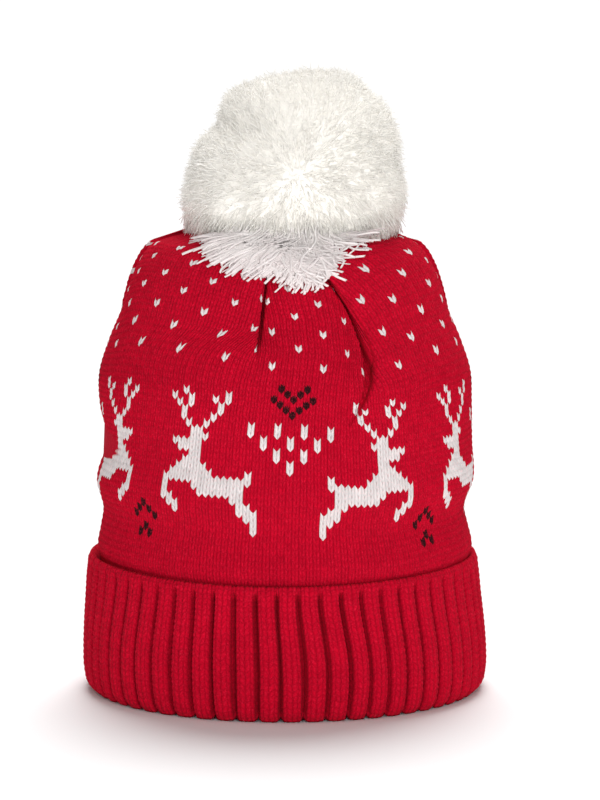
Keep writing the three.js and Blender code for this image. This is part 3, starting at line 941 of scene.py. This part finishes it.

# %% [markdown]
# The three yarns take those effects in their own way. On the crown and the cuff the legs of each stitch are
# painted lighter and the grooves between them darker, as painted shade, and a stitch of white lets the red
# behind it show as a speck. Deep in the cuff's grooves painted shade makes the red darkest. The pompom is
# almost pure white, because light goes from strand to strand many times before it leaves. The long strands
# are painted lighter at the roots, as painted light against the ball's shadow, and duller towards the tips,
# as painted shade between the strands.

# %% The yarn materials
RIB_RED = (0.51, 0.0016, 0.018, 1)
PAINTED_GLINT_RED = (0.26, 0.012, 0.03, 1)  # painted highlight where single fibres catch the light
HOLE_PINK = (0.40, 0.24, 0.24, 1)  # red that shows through a white stitch
RED_SHEEN, WHITE_SHEEN = (1, 0.15, 0.2, 1), (1, 1, 1, 1)
PAINTED_LEG_SHADE = 0.34  # painted shade: how much darker the grooves between the stitch legs are painted than the legs


def mix_colours(tree, blend, factor, first, second):
    inputs = {"Factor": factor, "A": first, "B": second}
    node = add_node(tree, "ShaderNodeMix", inputs, data_type="RGBA", blend_type=blend)
    return next(socket for socket in node.outputs if socket.enabled)


def mark(tree, name):
    """What the faces or points of a piece say under a name."""
    return add_node(tree, "ShaderNodeAttribute", attribute_name=name).outputs


def add_bump(tree, height, strength, distance, **under):
    """The normal bumped by a height, over another bump if there is one."""
    inputs = {"Strength": strength, "Distance": distance * MM, "Height": height, **under}
    return add_node(tree, "ShaderNodeBump", inputs).outputs["Normal"]


def yarn_material(name, sheen, tint, scale):
    """Matt yarn. Gives the material, its shader's inputs, and the outputs of the shared fibre effect."""
    material = new_material(name, {
        "Roughness": 0.9, "Specular IOR Level": 0.04,
        "Sheen Weight": sheen, "Sheen Roughness": 0.5, "Sheen Tint": tint,
    })
    tree = material.node_tree
    shader = tree.nodes["Principled BSDF"].inputs
    inputs = {"Scale": scale, "Shade": mark(tree, "tone_and_painted_shade")["Fac"]}
    return material, shader, add_node(tree, "ShaderNodeGroup", inputs, node_tree=FIBRE).outputs


def knit_material(name, yarn, groove_shade):
    """Knitting in the colour of an attribute, or in one colour with painted shade deep in the grooves. Both
    have painted shade between the stitch legs.
    """
    material, shader, fibre = yarn_material(name, sheen=0.07, tint=RED_SHEEN, scale=1600)
    tree = material.node_tree
    calc, mix = partial(calculate, tree), partial(mix_colours, tree)
    stitch = add_node(tree, "ShaderNodeGroup", node_tree=STITCH).outputs
    if isinstance(yarn, str):
        yarn = mark(tree, yarn)["Color"]
    tone = mix("MIX", fibre["Tone"], (0.88, 0.88, 0.88, 1), (1.12, 1.12, 1.12, 1))
    colour = mix("MULTIPLY", 1.0, yarn, tone)
    # Painted highlight: single fibres that catch the light are painted lighter red.
    painted_glint = calc("MULTIPLY_ADD", fibre["Height"], 4, -2.1)
    colour = mix("ADD", calc("MAXIMUM", calc("MINIMUM", painted_glint, 0.5), 0), colour, PAINTED_GLINT_RED)
    painted_shade_amount = PAINTED_LEG_SHADE
    if not groove_shade:
        parts = add_node(tree, "ShaderNodeSeparateColor", {"Color": yarn}).outputs
        white = calc("MULTIPLY", parts["Green"], 1.25)
        painted_shade_amount = calc("MULTIPLY_ADD", white, -0.26, painted_shade_amount)
        hole = calc("MULTIPLY", calc("MULTIPLY", stitch["Hole"], white), 0.5)
        colour = mix("MIX", hole, colour, HOLE_PINK)
    # Painted shade between the stitch legs, and a little painted light on the legs, from the stitch height.
    dark = calc("MULTIPLY", calc("SUBTRACT", 1.0, stitch["Height"]), painted_shade_amount)
    colour = mix("MULTIPLY", 1.0, colour, calc("SUBTRACT", 1.06, dark))
    # Painted shade: the colour is darker deep in the cuff's grooves.
    if groove_shade:
        colour = mix("MULTIPLY", 1.0, colour, calc("MULTIPLY_ADD", mark(tree, "groove_shade")["Fac"], -0.5, 1))
    feed(shader["Base Color"], colour)
    normal = add_bump(tree, stitch["Height"], strength=0.8, distance=0.7)
    feed(shader["Normal"], add_bump(tree, fibre["Height"], strength=0.5, distance=0.3, Normal=normal))
    return material


def white_material(name, dark, light, bumpy=False):
    """Yarn between two near whites. Only a plain solid needs the fibres' bump, a strand is fine enough."""
    material, shader, fibre = yarn_material(name, sheen=0.1, tint=WHITE_SHEEN, scale=2200)
    tree = material.node_tree
    feed(shader["Base Color"], mix_colours(tree, "MIX", fibre["Tone"], dark, light))
    if bumpy:
        feed(shader["Normal"], add_bump(tree, fibre["Height"], strength=0.5, distance=0.3))
    return material


WHITE_YARN = white_material("white_pompom_yarn", (0.97, 0.94, 0.885, 1), (0.995, 0.97, 0.925, 1))
# The long yarn's darker end is painted shade and its lighter end painted light, along each strand's shades.
LONG_YARN_PAINTED_SHADE = white_material("long_yarn_painted_shade", (0.71, 0.63, 0.625, 1), (0.96, 0.92, 0.90, 1))
TIE_YARN = white_material("tie_yarn", (0.78, 0.76, 0.72, 1), (0.9, 0.88, 0.85, 1), bumpy=True)
crown_knit.data.materials.append(knit_material("patterned_jersey", "yarn_colour", False))
cuff_rib.data.materials.append(knit_material("ribbed_red", RIB_RED, True))
for piece in (core, pompom_yarn, pompom_fluff):
    piece.data.materials.append(WHITE_YARN)
for piece in (pompom_fan, pompom_fringe):
    piece.data.materials.append(LONG_YARN_PAINTED_SHADE)
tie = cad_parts["pompom_tie"]
tie.data.materials.clear()
tie.data.materials.append(TIE_YARN)
print("materials:", [material.name for material in bpy.data.materials])

# %% [markdown]
# The last step ties the looks to the frame. Every piece rides on the hat's one body, and the knitted pieces
# stand for the plain solids under them.

# %% Hand over
pompom_pieces = (core, pompom_yarn, pompom_fluff, pompom_fan, pompom_fringe)
for piece in (crown_knit, cuff_rib) + pompom_pieces:
    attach(piece, "root")
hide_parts("crown")
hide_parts("cuff")
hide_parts("pompom")
print("handed over:", crown_knit.name, cuff_rib.name, *(piece.name for piece in pompom_pieces))
